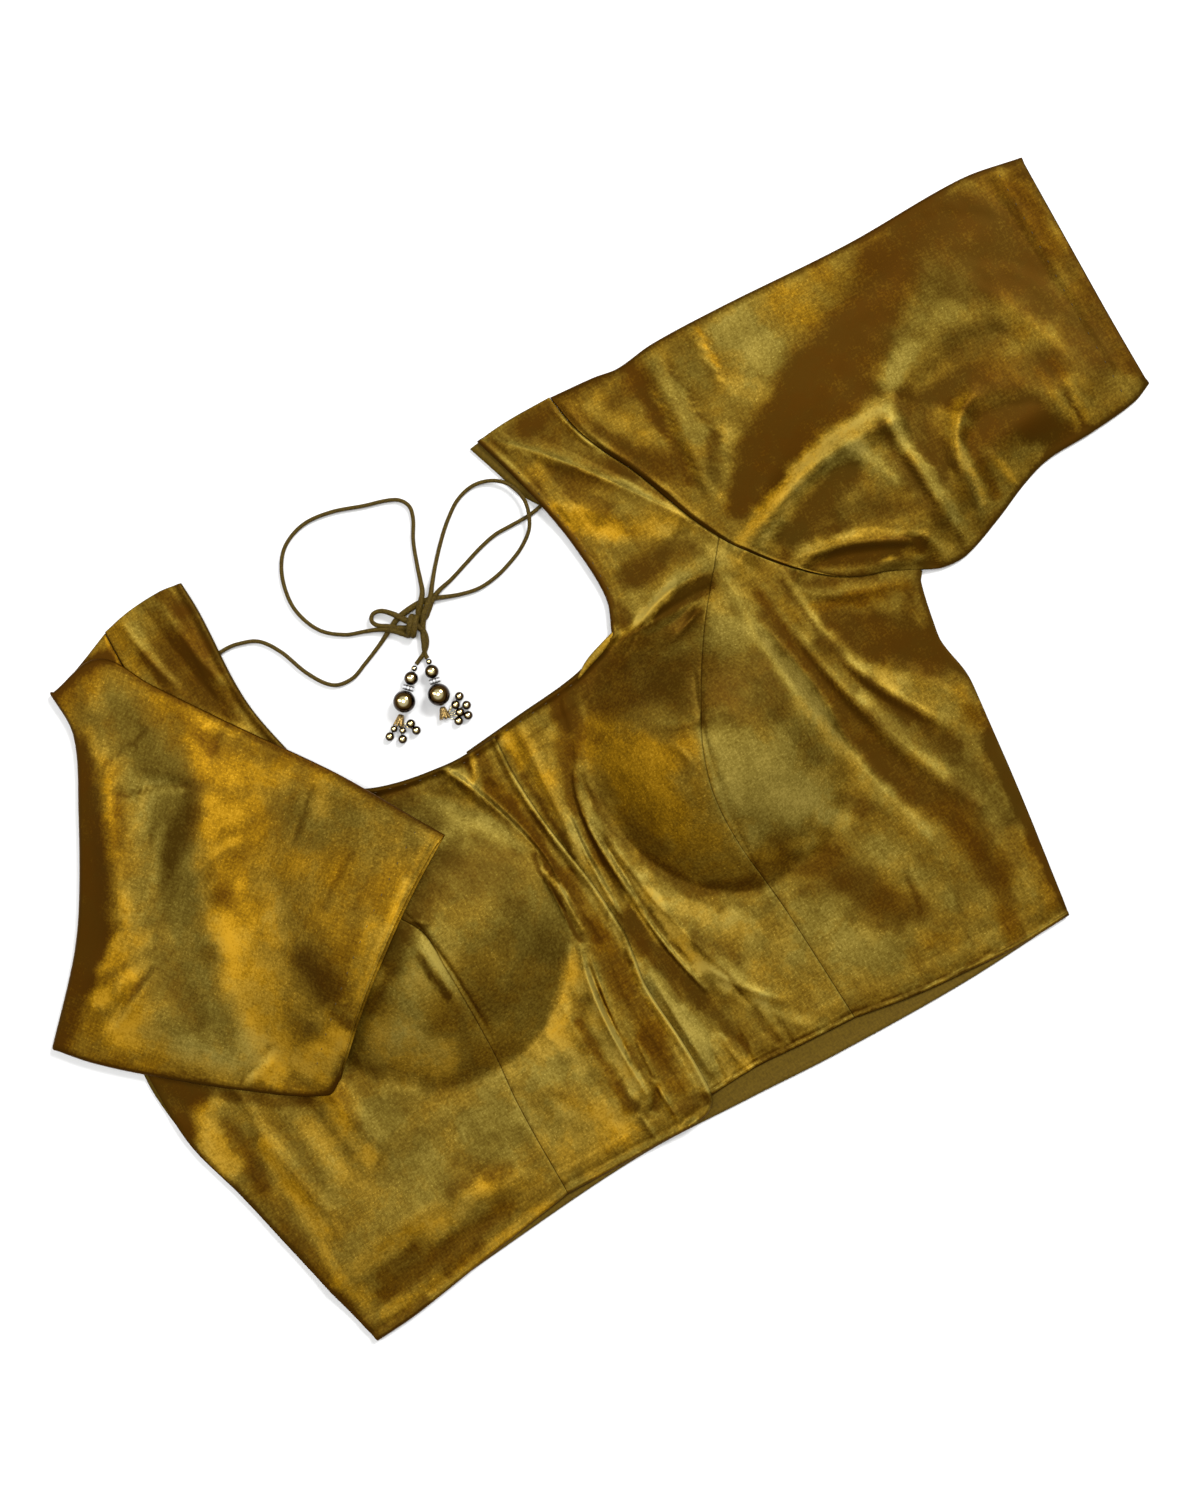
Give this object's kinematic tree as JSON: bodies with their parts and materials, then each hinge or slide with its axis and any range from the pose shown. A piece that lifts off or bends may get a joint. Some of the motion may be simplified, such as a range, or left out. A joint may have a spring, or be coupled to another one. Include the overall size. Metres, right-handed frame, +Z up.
{
  "type": "choli blouse",
  "caption": "Saree blouse in gold tissue cloth, laid flat with padded cups, princess seams, one sleeve folded over the front and back-neck ties in a bow with bead tassels.",
  "frame": {"origin": "below the middle of the cloth's box, on the surface that the blouse lies on", "axes": "+X across the garment towards the wearer's left sleeve cuff, +Y from hem to neck, +Z up from the surface, front side up"},
  "size_m": [0.67, 0.3916, 0.0358],
  "materials": {
    "gold_tissue": "gold and olive shot tissue silk, fine plain weave with a soft metallic sheen",
    "olive_inside": "matt olive-brown inside of the back panel",
    "dori": "olive-brown corded fabric tie",
    "gold_bead": "polished antique-gold beads",
    "rhinestone": "silver rondelle set with small clear stones",
    "filigree": "pale gold pierced bead cap"
  },
  "bodies": {
    "root": {"back_panel": "olive_inside", "front_left_centre": "gold_tissue", "front_left_side": "gold_tissue", "front_right_centre": "gold_tissue", "front_right_side": "gold_tissue", "sleeve_left": "gold_tissue", "sleeve_right": "gold_tissue", "dori_left_lead": "dori", "dori_left_loop": "dori", "dori_left_tail": "dori", "dori_right_lead": "dori", "dori_right_loop": "dori", "dori_right_tail": "dori", "dori_knot": "dori", "tassel_left_seed": "gold_bead", "tassel_left_bead": "gold_bead", "tassel_left_rondelle": "rhinestone", "tassel_left_large_bead": "gold_bead", "tassel_left_cone": "filigree", "tassel_left_drop_1": "gold_bead", "tassel_left_drop_2": "gold_bead", "tassel_left_drop_3": "gold_bead", "tassel_left_drop_4": "gold_bead", "tassel_left_drop_5": "gold_bead", "tassel_left_drop_6": "gold_bead", "tassel_right_seed": "gold_bead", "tassel_right_bead": "gold_bead", "tassel_right_rondelle": "rhinestone", "tassel_right_large_bead": "gold_bead", "tassel_right_cone": "filigree", "tassel_right_drop_1": "gold_bead", "tassel_right_drop_2": "gold_bead", "tassel_right_drop_3": "gold_bead", "tassel_right_drop_4": "gold_bead", "tassel_right_drop_5": "gold_bead", "tassel_right_drop_6": "gold_bead"}
  },
  "joints": []
}
